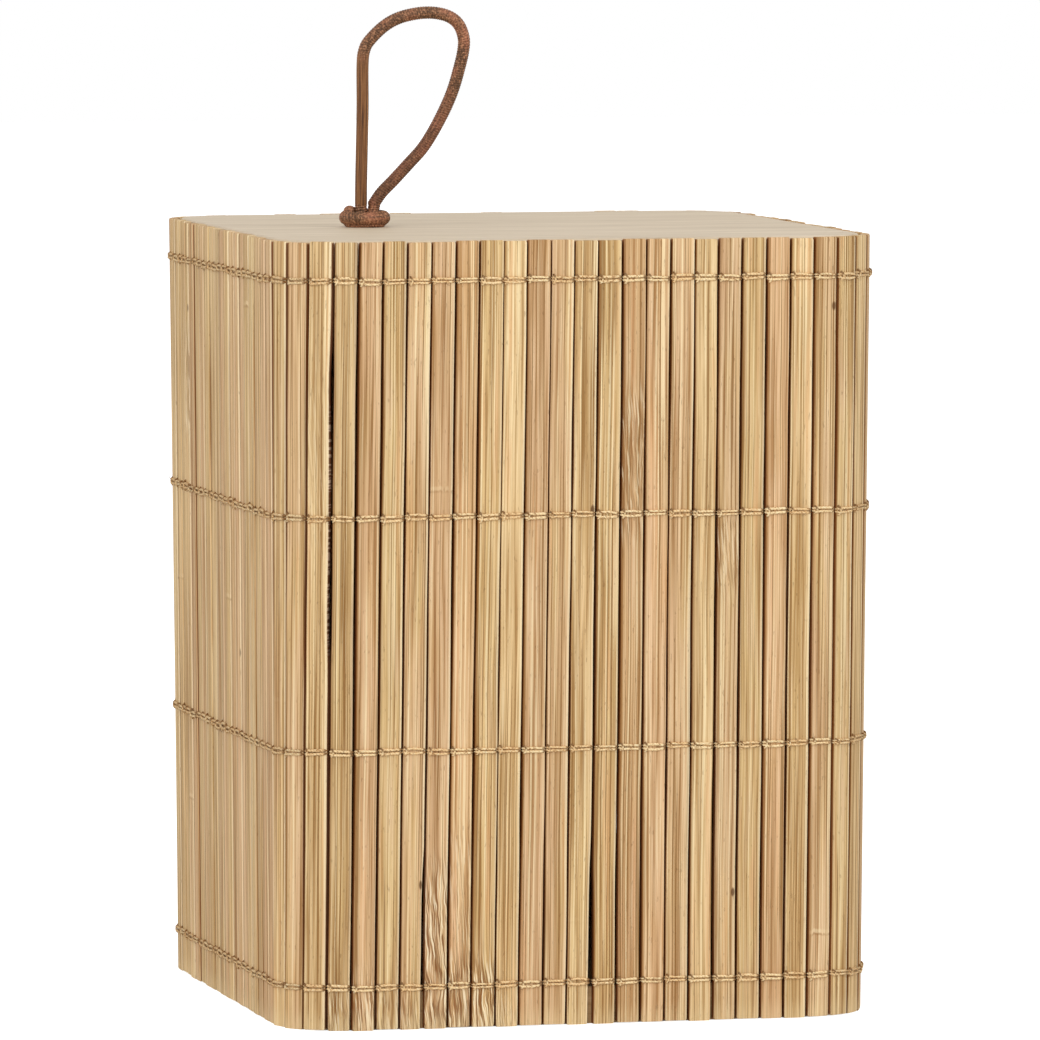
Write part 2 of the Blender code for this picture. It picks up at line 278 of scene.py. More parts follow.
class Bamboo(Finish):
    """Split bamboo: each slat has its own tint, streaks along it, pale or dark lines and rough places."""

    name = "bamboo"
    tints = {
        Tint.TAN: (216, 177, 130),
        Tint.PINK: (225, 189, 149),
        Tint.SAND: (225, 192, 149),
        Tint.STRAW: (224, 194, 141),
        Tint.OLIVE: (215, 184, 136),
        Tint.CREAM: (234, 205, 156),
    }
    white = (255, 255, 255)
    shade = ((0.30, (205, 189, 168)), (0.48, (246, 242, 236)), (0.64, white))
    grain = ((0.32, (207, 191, 170)), (0.47, (248, 245, 241)), (0.62, white))
    # For each kind of streak: how fine it is across the slat, how fast it changes along it, and its detail.
    streaks = {
        "broad": (620.0, 11.0, 1.0),
        "band": (1700.0, 24.0, 1.0),
        "fine": (3700.0, 32.0, 1.0),
        "light": (2500.0, 8.0, 0.0),
        "dark": (-2300.0, 10.0, 0.0),
        "fibre": (6000.0, 60.0, 2.0),
    }

    def build(self) -> None:
        """Adds the nodes: tint, broad and fine streaks, lines, painted highlight and shade on the edges,
        ends, painted shade on the sides, rough places and bump.
        """
        t = self.tree
        seed, across, rough = t.attribute("seed"), t.attribute("across"), t.attribute("rough_place")
        rise = t.split(t.place())[2]
        shift = seed * 37.0
        wander = t.noise(t.join(shift, 0.0, rise * 16.0), 1.0)
        swirl = t.stretched((260.0, 260.0, 120.0), 2.0)
        flow = across + wander * 0.0006 + (swirl - 0.5) * rough * 0.0022
        broad, band, fine, light, dark, fibre = (
            t.noise(t.join(flow * fineness, shift, rise * change), detail)
            for fineness, change, detail in self.streaks.values()
        )
        mottle = t.noise(t.join(shift, across * 260.0, rise * 24.0), 2.0)
        ripple = t.noise(t.join(flow * 2500.0 + rise * 180.0, shift, rise * 105.0), 1.0)
        dark_ripple, pale_ripple = ripple.span(0.53, 0.62) * rough, ripple.span(0.45, 0.37) * rough
        pit = t.noise(t.join(flow * 2600.0, shift, rise * 420.0), 2.0).span(0.66, 0.74)
        splinter = t.noise(t.join(shift, 0.0, rise * 1400.0), 1.0).span(0.50, 0.56)

        tone = t.math("ADD", t.attribute("tone"), (mottle - 0.5) * 0.9, clamp=True)
        colour = t.ramp(tone, tuple((tint.value, seen) for tint, seen in self.tints.items()))
        colour = t.mix(1.0, colour, t.ramp(broad, self.shade), "MULTIPLY")
        colour = t.mix(1.0, colour, t.ramp(band, self.grain), "MULTIPLY")
        lines = (
            (broad.span(0.50, 0.62) * mottle.span(0.48, 0.64), 0.32, (222, 160, 106)),
            (fine.span(0.55, 0.68), 0.32, (250, 230, 188)),
            (fine.span(0.44, 0.32), 0.40, (172, 130, 82)),
            (light.span(0.62, 0.72), 0.52, (254, 236, 190)),
            (dark.span(0.40, 0.30), 0.80, (140, 100, 52)),
            (fibre.span(0.48, 0.30), 0.22, (150, 112, 64)),
        )
        # Painted highlight along each slat's right edge and painted shade along its left edge, stronger on
        # some slats.
        edges = (
            (across.span(0.0020, 0.0025) * seed.span(0.15, 0.7), 0.55, (255, 236, 196)),
            (across.span(-0.0021, -0.00262) * seed.span(0.9, 0.3), 0.70, (140, 94, 46)),
        )
        ripples = ((dark_ripple, 0.82, (130, 80, 36)), (pale_ripple, 0.70, (255, 241, 206)))
        colour = t.tinge(colour, lines + edges + ripples)
        colour = t.vector("SCALE", colour, seed.fraction(17.3).span(0.0, 1.0, 0.985, 1.085))
        ends = (
            (pit, 0.30, (132, 92, 48)),
            (rise.span(0.006, 0.0) * fibre.span(0.40, 0.60), 0.6, (240, 216, 168)),
            # Painted shade: the slats' side faces, dark brown, in the gaps between them.
            (t.attribute("side"), 0.90, (122, 66, 26)),
            (splinter * t.attribute("ragged"), 0.75, (246, 222, 190)),
        )
        colour = t.tinge(colour, self.joints(across, rise, seed) + ends)
        height = fibre * 0.35 + broad * 0.65 - (dark_ripple * 0.5 + pit * 0.25) * 1.5
        self.close(colour, 0.62, height, 0.00020, 0.12)

    def joints(self, across: Value, rise: Value, seed: Value) -> tuple:
        """Makes the marks that some slats have: the ring of a bamboo joint, and a dark speck by an edge.

        Args:
            across: The way across the slat.
            rise: The height.
            seed: What sets one slat apart from the next.

        Returns:
            The marks, as tinge takes them.
        """
        t = self.tree
        wave = t.noise(t.join(across * 900.0, seed * 50.0, 0.0), 1.0)
        offset = rise - seed.fraction(13.7) * HEIGHT - wave * 0.0016
        ringed = seed.fraction(7.9).span(0.80, 0.98) * wave.span(0.3, 0.6)
        high = (rise - seed.fraction(29.3) * HEIGHT) / 0.0011
        side = (across - 0.0021) / 0.0005
        away = t.math("SQRT", high * high + side * side)
        return (
            (abs(offset).span(0.00045, 0.0001) * ringed, 0.55, (150, 108, 60)),
            (abs(offset - 0.0008).span(0.0007, 0.0002) * ringed, 0.45, (248, 226, 182)),
            (away.span(1.3, 0.6) * seed.fraction(5.3).span(0.78, 0.80), 0.85, (92, 58, 28)),
        )


class Board(Finish):
    """Planed board, with faint streaks along the box's width and grain on its ends."""

    def __init__(self, name: str, tone: tuple, dark: tuple, pale: tuple) -> None:
        """Keeps the board's three colours, as they are seen, and makes its material.

        Args:
            name: The material's name.
            tone: The wood's own colour.
            dark: The colour of its darker streaks.
            pale: The colour of its paler streaks.
        """
        self.name = name
        self.tone, self.dark, self.pale = tone, dark, pale
        super().__init__()

    def build(self) -> None:
        """Adds the nodes: long soft streaks, fine pores and a shallow bump."""
        t = self.tree
        cloud = t.stretched((40.0, 60.0, 160.0), 2.0)
        long_way = t.vector("MULTIPLY", t.place(), (14.0, 260.0, 700.0))
        streak = t.noise(t.vector("ADD", long_way, t.join(0.0, cloud, cloud)), 4.0, 0.6)
        pore = t.stretched((90.0, 2400.0, 3600.0), 2.0)
        colour = t.mix(streak.span(0.50, 0.72), self.tone, self.pale)
        marks = ((streak.span(0.46, 0.26), 0.8, self.dark), (pore.span(0.42, 0.25), 0.35, self.dark))
        self.close(t.tinge(colour, marks), 0.6, streak * 0.5 + pore, 0.00006, 0.25)


class Thread(Finish):
    """Pale cotton thread: twisted strands that turn round it, and a little fluff."""

    name = "thread"
    twist = 1250.0

    def build(self) -> None:
        """Adds the nodes: the twist from the mesh's own map, tint, painted shade in the grooves, at the
        thread's ends and on the side walls, and bump.
        """
        t = self.tree
        along, around, _ = t.split(t.attribute("lay", "Vector"))
        ply = abs(t.math("SINE", (along * self.twist + around) * math.pi))
        fluff = t.stretched((1500.0, 1500.0, 2600.0), 2.0)
        # Painted shade on the stitches of the side walls, which run from front to back.
        side_wall_shade = abs(t.split(t.attribute("way", "Vector"))[1]).span(0.3, 0.9)
        colour = t.mix(t.attribute("seed").span(0.0, 1.0), (255, 228, 178), (246, 210, 156))
        marks = (
            # Painted shade in the grooves between the twisted strands.
            (ply.span(0.5, 0.0), 0.38, (196, 138, 80)),
            (fluff.span(0.47, 0.34), 0.70, (150, 96, 46)),
            (fluff.span(0.55, 0.68), 0.50, (255, 246, 210)),
            # Painted shade near both ends of each length of thread, where the legs dive between the slats.
            (along.span(0.0014, 0.0008) + along.span(0.0062, 0.0068), 0.85, (118, 76, 34)),
            (side_wall_shade, 0.32, (140, 96, 52)),
        )
        self.close(t.tinge(colour, marks), 0.8, ply + fluff * 0.4, 0.0001, 0.15)


class WaxedCord(Finish):
    """Reddish brown waxed cord, ribbed slantwise, with one smooth stretch where it is pulled straight."""

    name = "cord"
    worn = ((0.30, (110, 79, 51)), (0.46, (131, 92, 64)), (0.56, (148, 98, 69)), (0.70, (174, 113, 85)))
    taut = ((0.36, (68, 40, 20)), (0.50, (118, 75, 40)), (0.64, (160, 113, 68)))

    def build(self) -> None:
        """Adds the nodes: ribs and fibres from the mesh's own map, tints, painted shade in the ribs'
        grooves, and bump.
        """
        t = self.tree
        along, around, _ = t.split(t.attribute("lay", "Vector"))
        smooth = t.attribute("smooth")
        rib = t.math("SINE", (along * (1.0 / RopeLay.rib) + around * RopeLay.slant) * FULL_TURN)
        patch = t.stretched((170.0, 170.0, 170.0), 2.0)
        grain = t.stretched((1900.0, 1900.0, 1900.0), 3.0, 0.65)
        circle = around * FULL_TURN
        ring = t.join(t.math("COSINE", circle) * 4.5, t.math("SINE", circle) * 4.5, along * 60.0)
        streak = t.noise(ring, 3.0, 0.6)
        marks = (
            (streak.span(0.52, 0.40), 0.60, (82, 54, 36)),
            (streak.span(0.54, 0.66), 0.35, (196, 122, 90)),
            # Painted shade in the grooves between the ribs, in patches.
            (rib.span(0.2, -0.9) * patch.span(0.62, 0.40), 0.50, (64, 38, 22)),
            (grain.span(0.53, 0.64), 0.55, (216, 156, 116)),
            (grain.span(0.48, 0.36), 0.68, (58, 34, 20)),
            (along.span(0.072, 0.102), 0.45, (84, 50, 32)),
        )
        colour = t.mix(smooth, t.tinge(t.ramp(patch, self.worn), marks), t.ramp(streak, self.taut))
        height = rib * 0.3 * (1.0 - smooth) + grain * 0.5 + streak * smooth * 0.8
        self.close(colour, 0.55, height, 0.00015, 0.3)


@dataclass(frozen=True)
class Plan:
    """The rounded square that the wall follows, and how it narrows to the floor."""

    width: float = 0.150
    corner_radius: float = 0.0185
    floor_share: float = 0.979
    height: float = HEIGHT
    slat_count: int = 94
    slat_thickness: float = 0.0020
    base_thickness: float = 0.009
    lowest_row: float = 0.0014
    middle_rows: tuple = (0.354, 0.651)
    top_row: float = 0.0095
    unevenness: float = 0.00016
    sink: float = 0.00042
    slat_seed: int = 7

    @property
    def half(self) -> float:
        """Half the width of the line through the middle of the slats."""
        return (self.width - self.slat_thickness) / 2

    @property
    def radius(self) -> float:
        """The corner radius of the line through the middle of the slats."""
        return self.corner_radius - self.slat_thickness / 2

    @property
    def pitch(self) -> float:
        """The distance from one slat's middle to the next."""
        return (8 * (self.half - self.radius) + FULL_TURN * self.radius) / self.slat_count

    def inputs(self) -> dict:
        """What every tree that stands things round the wall line is given.

        Returns:
            The values, by the names of the tree's inputs.
        """
        return {
            "Count": self.slat_count,
            "Height": self.height,
            "Floor share": self.floor_share,
            "Unevenness": self.unevenness,
            "Sink": self.sink,
            "Slat seed": self.slat_seed,
        }

    def rows(self) -> list[float]:
        """The heights of the rows of stitches, from the floor up."""
        middle = [share * self.height for share in self.middle_rows]
        return [self.base_thickness + self.lowest_row, *middle, self.height - self.top_row]

    def wall_line(self, corner_steps: int = 48, wall_steps: int = 24) -> list[Vector]:
        """The line through the middle of the slats, from the front's middle, to the right and round.

        Args:
            corner_steps: Steps in each corner.
            wall_steps: Steps in half of each flat wall.

        Returns:
            Its points, in order, without the first one again at the end.
        """
        flat, quarter_turn = self.half - self.radius, math.pi / 2
        quarter = [Vector((flat * step / wall_steps, -self.half, 0)) for step in range(wall_steps)]
        for step in range(corner_steps + 1):
            angle = quarter_turn * (step / corner_steps - 1)
            x, y = flat + self.radius * math.cos(angle), -flat + self.radius * math.sin(angle)
            quarter.append(Vector((x, y, 0)))
        quarter += [Vector((self.half, -flat * (1 - step / wall_steps), 0)) for step in range(1, wall_steps)]
        line = []
        for turn in range(4):
            cos, sin = round(math.cos(quarter_turn * turn)), round(math.sin(quarter_turn * turn))
            line += [Vector((cos * p.x - sin * p.y, sin * p.x + cos * p.y, 0)) for p in quarter]
        return line


def skin(rows: int, sides: int, closed: bool = False, flipped: bool = False) -> list[tuple]:
    """The faces between rings of points, and over the ends of an open form.

    Args:
        rows: How many rings there are.
        sides: How many points a ring has.
        closed: Whether the last ring meets the first one.
        flipped: Whether the faces look the other way.

    Returns:
        The faces, as numbers of points.
    """
    faces = []
    for row in range(rows if closed else rows - 1):
        first, second = row * sides, (row + 1) % rows * sides
        for item in range(sides):
            a, b, c, d = first + item, first + (item + 1) % sides, second + (item + 1) % sides, second + item
            faces.append((a, d, c, b) if flipped else (a, b, c, d))
    if not closed:
        ends = [tuple(range(sides)), tuple(range((rows - 1) * sides, rows * sides))]
        inward = 1 if flipped else 0
        ends[inward] = ends[inward][::-1]
        faces += ends
    return faces


class Workshop:
    """Makes plain mesh objects, and turns what a Geometry Nodes tree makes into one."""

    def show(self, name: str, data: bpy.types.ID) -> bpy.types.Object:
        """Makes an object and puts it in the scene, at the origin.

        Args:
            name: The object's name.
            data: Its mesh, curve, camera or lamp.

        Returns:
            The object.
        """
        piece = bpy.data.objects.new(name, data)
        bpy.context.scene.collection.objects.link(piece)
        return piece

    def mesh(self, name: str, vertices: list, faces: list, smooth: bool = True) -> bpy.types.Object:
        """Makes an object of its corners and faces.

        Args:
            name: The object's name.
            vertices: Its corners.
            faces: Its faces, as numbers of corners.
            smooth: Whether the faces are smooth.

        Returns:
            The object.
        """
        data = bpy.data.meshes.new(name)
        data.from_pydata(vertices, [], faces)
        if smooth:
            data.shade_smooth()
        return self.show(name, data)

    def line(self, name: str, points: list) -> bpy.types.Object:
        """Makes a closed curve.

        Args:
            name: The object's name.
            points: The points that the curve runs through, in order.

        Returns:
            The object.
        """
        data = bpy.data.curves.new(name, "CURVE")
        data.dimensions = "3D"
        spline = data.splines.new("POLY")
        spline.points.add(len(points) - 1)
        for item, point in zip(spline.points, points):
            item.co = (*point, 1)
        spline.use_cyclic_u = True
        return self.show(name, data)

    def join(self, name: str, pieces: list) -> bpy.types.Object:
        """Puts the pieces in one object and removes them.

        Args:
            name: The object's name.
            pieces: The pieces.

        Returns:
            The object.
        """
        shape = bmesh.new()
        for piece in pieces:
            shape.from_mesh(piece.data)
            bpy.data.objects.remove(piece)
        data = bpy.data.meshes.new(name)
        shape.to_mesh(data)
        shape.free()
        return self.show(name, data)

    def grow(
        self, name: str, start: bpy.types.Object, tree: bpy.types.NodeTree, values: dict
    ) -> bpy.types.Object:
        """Runs a Geometry Nodes tree on an object and keeps the result as a plain mesh.

        Args:
            name: The new object's name.
            start: The object that the tree works on. It is removed.
            tree: The tree.
            values: What each of the tree's inputs is set to, by its name.

        Returns:
            The new object, at the origin and with no modifier.
        """
        modifier = start.modifiers.new("grow", "NODES")
        modifier.node_group = tree
        for item in tree.interface.items_tree:
            if item.name in values and item.in_out == "INPUT":
                modifier[item.identifier] = values[item.name]
        start.update_tag()
        bpy.context.view_layer.update()
        graph = bpy.context.evaluated_depsgraph_get()
        data = bpy.data.meshes.new_from_object(start.evaluated_get(graph), depsgraph=graph)
        data.name = name
        bpy.data.objects.remove(start)
        return self.show(name, data)


class WallTree(Tree):
    """A Geometry Nodes tree that stands things round the wall line, one at each slat, and leans them."""

    kinds = {
        "Count": "Int",
        "Height": "Float",
        "Floor share": "Float",
        "Unevenness": "Float",
        "Sink": "Float",
        "Slat seed": "Int",
        "Material": "Material",
    }
    # How far the slats' feet and tops lean along the wall at most. Each curve has pairs of a place round the
    # wall line, from 0 to 1, and the share of that lean there.
    foot_shift = -0.0023
    rim_shift = 0.0008
    foot_curve = (
        (0.0, 0.76), (0.053, 0.26), (0.133, 0.0), (0.45, 0.3), (0.70, 0.5), (0.867, 1.0), (0.94, 0.9),
        (1.0, 0.76),
    )
    rim_curve = ((0.0, 0.15), (0.05, 0.0), (0.80, 0.0), (0.87, 0.9), (0.93, 1.0), (0.97, 0.5), (1.0, 0.15))

    def __init__(self, name: str, kinds: dict[str, str]) -> None:
        """Starts the tree with its named inputs.

        Args:
            name: The tree's name.
            kinds: The kinds of its own inputs, which come before those that every such tree has.
        """
        super().__init__(bpy.data.node_groups.new(name, "GeometryNodeTree"))
        for label, kind in ({"Geometry": "Geometry"} | kinds | self.kinds).items():
            self.tree.interface.new_socket(name=label, in_out="INPUT", socket_type=f"NodeSocket{kind}")
        self.tree.interface.new_socket(name="Geometry", in_out="OUTPUT", socket_type="NodeSocketGeometry")
        self.given = {item.name: Value(self, item) for item in self.add("NodeGroupInput").outputs}
        self.index = self.value("GeometryNodeInputIndex")

    def store(self, geometry: object, name: str, kind: str, value: bpy.types.NodeSocket) -> Value:
        """Keeps a value on each point.

        Args:
            geometry: The points.
            name: The name that the value is kept under.
            kind: The value's type.
            value: The value.

        Returns:
            The points with the value.
        """
        inputs = {"Geometry": geometry, "Name": name}
        node = self.add("GeometryNodeStoreNamedAttribute", inputs, data_type=kind, domain="POINT")
        wanted = [item for item in node.inputs if item.name == "Value" and item.enabled]
        self.tree.links.new(value, wanted[0])
        return Value(self, node.outputs[0])

    def draw(self, seed: object, low: tuple, high: tuple) -> Value:
        """Draws a random vector for each point, between two vectors."""
        inputs = {"Min": low, "Max": high, "ID": self.index, "Seed": seed}
        return self.value("FunctionNodeRandomValue", inputs, data_type="FLOAT_VECTOR")

    def curve(self, value: Value, points: tuple) -> Value:
        """Adds a Float Curve.

        Args:
            value: Where on the curve to read.
            points: The points that the curve runs through, each from 0 to 1.

        Returns:
            The height of the curve there.
        """
        node = self.add("ShaderNodeFloatCurve", {"Value": value})
        curve = node.mapping.curves[0]
        while len(curve.points) < len(points):
            curve.points.new(0.5, 0.5)
        for item, place in zip(curve.points, points):
            item.location = place
        node.mapping.update()
        return Value(self, node.outputs[0])

    def shape(self, name: str) -> Value:
        """Takes the geometry of the object that an input gives."""
        return self.value("GeometryNodeObjectInfo", {"Object": self.given[name]}, "Geometry")

    def gather(self, items: list) -> Value:
        """Joins pieces of geometry.

        Args:
            items: The pieces, the last one first.

        Returns:
            The joined geometry.
        """
        node = self.add("GeometryNodeJoinGeometry")
        for item in items:
            self.tree.links.new(item.socket, node.inputs[0])
        return Value(self, node.outputs[0])

    def real(self, instances: Value) -> Value:
        """Makes instances real."""
        return self.value("GeometryNodeRealizeInstances", {"Geometry": instances})

    def stand(self, inputs: dict) -> Value:
        """Stands an instance at each slat, where it keeps the slat's number, its seed and its way.

        Args:
            inputs: What stands there and its scale, by the names of the node's inputs.

        Returns:
            The instances.
        """
        counted = {"Curve": self.given["Geometry"], "Count": self.given["Count"]}
        stood = self.add("GeometryNodeCurveToPoints", counted, mode="COUNT").outputs
        drawn = {"ID": self.index, "Seed": self.given["Slat seed"]}
        chance = self.add("FunctionNodeRandomValue", drawn, data_type="FLOAT")
        points = self.store(stood["Points"], "slat", "INT", self.index.socket)
        points = self.store(points, "seed", "FLOAT", chance.outputs[1])
        points = self.store(points, "way", "FLOAT_VECTOR", stood["Tangent"])
        aligned = {"Vector": stood["Tangent"]}
        turned = self.value("FunctionNodeAlignRotationToVector", aligned, axis="X", pivot_axis="Z")
        return self.value("GeometryNodeInstanceOnPoints", {"Points": points, "Rotation": turned, **inputs})

    def lean(self, geometry: Value) -> Value:
        """Leans, wavers, sinks and narrows what stands on the wall line.

        Args:
            geometry: What stands there, with its slat, seed and way on each point.

        Returns:
            The moved geometry.
        """
        number, seed, way = (
            self.value("GeometryNodeInputNamedAttribute", {"Name": name}, data_type=kind)
            for name, kind in (("slat", "INT"), ("seed", "FLOAT"), ("way", "FLOAT_VECTOR"))
        )
        place = self.value("GeometryNodeInputPosition")
        rise = self.split(place)[2]
        share = rise / self.given["Height"]
        round_share = number / self.given["Count"]
        foot = self.curve(round_share, self.foot_curve) * (1.0 - share) * self.foot_shift
        rim = self.curve(round_share, self.rim_curve) * share * self.rim_shift
        waver = self.noise(self.join(seed * 91.0, 0.0, rise * 22.0), 2.0) - 0.5
        waver = waver * (self.given["Unevenness"] * 4.0)
        inwards = self.vector("CROSS_PRODUCT", (0.0, 0.0, 1.0), way)
        shifted = self.vector("SCALE", way, foot + rim + waver)
        sunk = self.vector("SCALE", inwards, seed.fraction(53.7) * self.given["Sink"])
        moved = self.vector("ADD", place, self.vector("ADD", shifted, sunk))
        limits = {0: share, 1: 0.0, 2: 1.0, 3: self.given["Floor share"], 4: 1.0}
        spread = self.value("ShaderNodeMapRange", limits, clamp=False)
        narrowed = self.vector("MULTIPLY", moved, self.join(spread, spread, 1.0))
        return self.value("GeometryNodeSetPosition", {"Geometry": geometry, "Position": narrowed})

    def close(self, geometry: Value) -> bpy.types.NodeTree:
        """Leans the geometry, gives it its material and ends the tree.

        Args:
            geometry: What stands on the wall line.

        Returns:
            The finished tree.
        """
        dressed = {"Geometry": self.lean(geometry), "Material": self.given["Material"]}
        self.add("NodeGroupOutput", {0: self.value("GeometryNodeSetMaterial", dressed)})
        return self.tree


@dataclass
class SlatWall:
    """The wall's bamboo slats, stood round the plan by Geometry Nodes, and their rough and torn places."""

    plan: Plan
    shop: Workshop
    finish: Finish
    height_steps: int = 30
    edge: float = 0.0002
    end: float = 0.0004
    end_scale: float = 0.93
    seen_gap: float = 0.00055
    back_gap: float = 0.00022
    smallest: tuple = (0.965, 0.93, 0.9978)
    largest: tuple = (1.035, 1.0, 0.9988)
    size_seed: int = 11
    lift: float = 0.0003
    lift_seed: int = 5
    sharp_angle: float = math.radians(40)
    tone_step: float = 7.31
    rough_fade: float = 0.008
    gap_fade: float = 0.010
    tear_waves: float = 2100.0
    tear_share: float = 0.4
    torn_below: int = -9
    ragged_from: float = 0.0026
    first_tint: int = -12
    # The tints across the front, from the slat with the first number to the right.
    front_tints: tuple = (
        Tint.SAND, Tint.CREAM, Tint.OLIVE, Tint.PINK, Tint.STRAW, Tint.SAND, Tint.PINK, Tint.TAN, Tint.STRAW,
        Tint.CREAM, Tint.PINK, Tint.SAND, Tint.OLIVE, Tint.STRAW, Tint.TAN, Tint.PINK, Tint.SAND, Tint.CREAM,
        Tint.SAND, Tint.STRAW, Tint.PINK, Tint.OLIVE, Tint.SAND, Tint.STRAW, Tint.CREAM,
    )
    # Rough places: the slat's number, the lowest and highest point, and the strength.
    rough_places: tuple = (
        (2, 0.122, 0.150, 0.5), (6, 0.108, 0.120, 0.5), (-6, 0.000, 0.034, 1.0), (-5, 0.000, 0.013, 1.0),
        (-5, 0.020, 0.045, 0.35), (-10, 0.000, 0.005, 0.8), (-7, 0.000, 0.004, 0.7), (-3, 0.000, 0.003, 0.5),
        (-4, 0.000, 0.012, 1.0), (-9, 0.000, 0.007, 0.9), (-11, 0.120, 0.158, 0.20), (-8, 0.000, 0.006, 0.6),
        (31, 0.090, 0.110, 0.7), (45, 0.040, 0.060, 0.7), (-30, 0.140, 0.160, 0.7),
    )
    # Wide gaps: the slat's number, the side that draws back, the lowest and highest point, and how far.
    wide_gaps: tuple = (
        (0, 1, 0.000, 0.036, 0.0005), (1, -1, 0.000, 0.030, 0.0003), (-7, 1, 0.000, 0.034, 0.0008),
        (-10, -1, 0.096, 0.158, 0.0002), (-11, 1, 0.096, 0.158, 0.0003),
    )
    # Ragged edges: the slat's number, the lowest and the highest point.
    ragged_edges: tuple = ((-11, 0.092, 0.150), (2, 0.142, 0.152), (0, 0.002, 0.034), (-7, 0.004, 0.034))

    def strip(self) -> bpy.types.Object:
        """Makes one slat, upright at the origin, its outer face towards the front.

        Returns:
            The slat, with how far across it and how far into its side each point is.
        """
        half, deep, edge = (self.plan.pitch - self.seen_gap) / 2, self.plan.slat_thickness / 2, self.edge
        back, top = (self.plan.pitch - self.back_gap) / 2, self.plan.height
        outer = [
            (-half, -deep + edge * 1.6),
            (-half, -deep + edge),
            (-half + edge * 0.35, -deep + edge * 0.3),
            (-half + edge, -deep),
        ]
        middle = [(share * half, -deep) for share in (-0.45, 0.0, 0.45)]
        mirrored = [(-x, y) for x, y in reversed(outer)]
        inner = [(back, deep - edge), (back - edge, deep), (-back + edge, deep), (-back, deep - edge)]
        ring = outer + middle + mirrored + inner
        between = [top * step / self.height_steps for step in range(1, self.height_steps)]
        levels = [0.0, self.end, *between, top - self.end, top]
        vertices = []
        for level in levels:
            scale = self.end_scale if level in (0.0, top) else 1.0
            vertices += [(x * scale, y * scale, level) for x, y in ring]
        piece = self.shop.mesh("slat", vertices, skin(len(levels), len(ring)))
        # Points on a slat's long side faces, where the bamboo finish paints shade dark brown in the gaps.
        sides = [-deep + edge * 1.3 < y < deep - edge * 0.5 and 0 < z < top for _, y, z in vertices]
        self.write(piece.data, "across", [x for x, _, _ in vertices])
        self.write(piece.data, "side", sides)
        return piece

    def tree(self) -> bpy.types.NodeTree:
        """Builds the tree that stands the slats round the wall line, each a little off in size and height.

        Returns:
            The tree. Its inputs are the line, one slat and what every tree on the wall line is given.
        """
        t = WallTree("slat_wall", {"Slat": "Object"})
        size = t.draw(self.size_seed, self.smallest, self.largest)
        placed = t.stand({"Instance": t.shape("Slat"), "Scale": size})
        lift = t.draw(self.lift_seed, (0.0, 0.0, 0.0), (0.0, 0.0, self.lift))
        lifted = t.value("GeometryNodeTranslateInstances", {"Instances": placed, "Translation": lift})
        return t.close(t.real(lifted))

    def build(self) -> None:
        """Makes the wall of slats, wears it and puts it in place of the slat pairs."""
        slat = self.strip()
        line = self.shop.line("wall_line", self.plan.wall_line())
        values = {**self.plan.inputs(), "Slat": slat, "Material": self.finish.material}
        piece = self.shop.grow("bamboo_slats", line, self.tree(), values)
        bpy.data.objects.remove(slat)
        self.wear(piece.data)
        piece.data.shade_smooth()
        piece.data.set_sharp_from_angle(angle=self.sharp_angle)
        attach(piece, "box")
        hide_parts(*[f"slat_pair_{number:02d}" for number in range(1, self.plan.slat_count // 2 + 1)])
        LOG.info("slats: %d faces", len(piece.data.polygons))

    def wear(self, data: bpy.types.Mesh) -> None:
        """Gives each slat its tone, and the front its rough, swirled and ragged places.

        Args:
            data: The mesh of the wall of slats.
        """
        numbers, seeds, across = (self.read(data, name) for name in ("slat", "seed", "across"))
        ways = self.read(data, "way", "vector", 3).reshape(-1, 3)
        places = self.read(data, "position", "vector", 3).reshape(-1, 3)
        rise = places[:, 2]
        slat = np.where(numbers > self.plan.slat_count / 2, numbers - self.plan.slat_count, numbers)
        tone = (seeds * self.tone_step) % 1.0
        for number, tint in enumerate(self.front_tints, self.first_tint):
            tone[slat == number] = tint.value
        rough, shift, ragged = (np.zeros(len(slat)) for _ in range(3))
        for number, low, high, strength in self.rough_places:
            place = (slat == number) * self.fade(rise, low, high, self.rough_fade)
            rough = np.maximum(rough, place * strength)
        for number, side, low, high, depth in self.wide_gaps:
            edge = np.clip(across * side / (self.plan.pitch / 2), 0, 1) ** 4
            tear = self.tear_share * np.sin(rise * self.tear_waves + number) * (number < self.torn_below)
            place = (slat == number) * self.fade(rise, low, high, self.gap_fade)
            shift -= place * edge * side * depth * (1 + tear)
        for number, low, high in self.ragged_edges:
            held = (slat == number) * (rise > low) * (rise < high)
            ragged = np.maximum(ragged, held * (across > self.ragged_from))
        data.vertices.foreach_set("co", (places + ways * shift[:, None]).ravel())
        for name, values in (("ragged", ragged), ("tone", tone), ("rough_place", rough)):
            self.write(data, name, values)

    @staticmethod
    def fade(rise: np.ndarray, low: float, high: float, soft: float) -> np.ndarray:
        """1 between two heights, and down to 0 over a soft stretch beyond them."""
        return np.clip((rise - low) / soft + 1, 0, 1) * np.clip((high - rise) / soft + 1, 0, 1)

    @staticmethod
    def read(data: bpy.types.Mesh, name: str, field: str = "value", size: int = 1) -> np.ndarray:
        """Reads a mesh attribute.

        Args:
            data: The mesh.
            name: The attribute's name.
            field: What its values are called.
            size: How many numbers a point has.

        Returns:
            The numbers, one point after another.
        """
        found = np.zeros(len(data.vertices) * size)
        data.attributes[name].data.foreach_get(field, found)
        return found

    @staticmethod
    def write(data: bpy.types.Mesh, name: str, values: object) -> None:
        """Writes a mesh attribute of one number a point."""
        numbers = np.asarray(values, np.float32)
        data.attributes.new(name, "FLOAT", "POINT").data.foreach_set("value", numbers)


class RopeLay:
    """How the handle's cord is laid: one rib along it, and how many ribs cross a turn of it."""

    rib = 0.00062
    slant = 2.0


